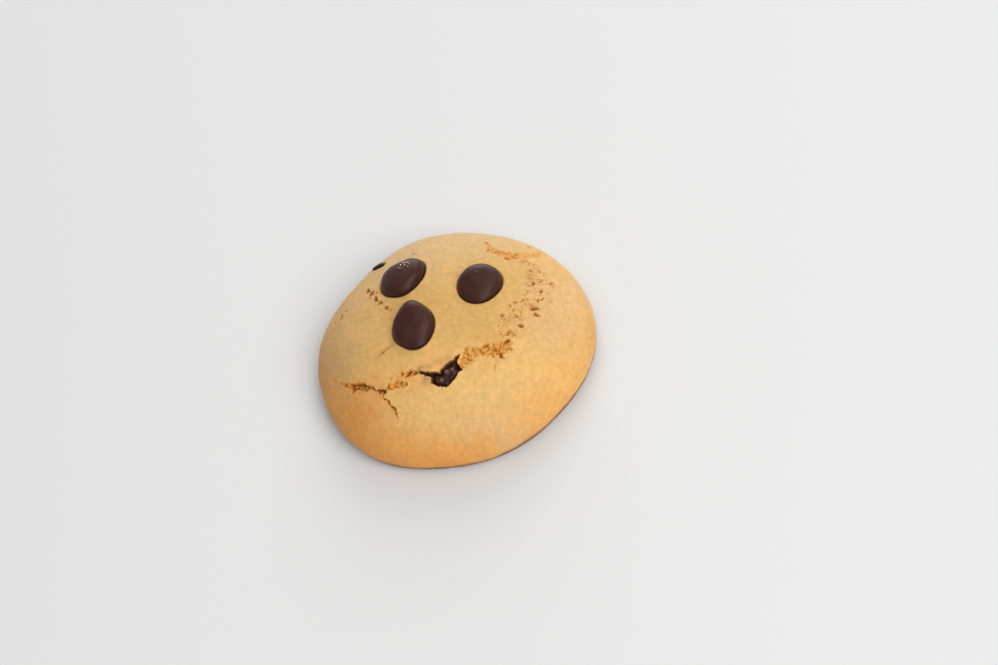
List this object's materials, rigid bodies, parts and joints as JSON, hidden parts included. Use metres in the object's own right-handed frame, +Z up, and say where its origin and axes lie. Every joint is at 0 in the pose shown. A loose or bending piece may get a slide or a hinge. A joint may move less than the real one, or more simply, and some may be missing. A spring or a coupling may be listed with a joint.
{
  "type": "cookie",
  "caption": "Low round baked cookie with a flat underside, a rounded edge, a split and pitted crust, and chocolate drops set in its domed top.",
  "frame": {"origin": "middle of the bounding box's base, on the plane of the flat underside", "axes": "+Z up out of the dome, +X along the mound's slightly longer diameter, +Y to the side where three of the drops lie"},
  "size_m": [0.0658, 0.0628, 0.0206],
  "materials": {
    "dough": "dry matt golden crust, browner at the edge and underneath",
    "chocolate": "satin dark chocolate"
  },
  "bodies": {
    "root": {"dough": "dough", "drop_right": "chocolate", "drop_left": "chocolate", "drop_middle": "chocolate", "drop_far": "chocolate", "drop_in_split": "chocolate"}
  },
  "joints": []
}
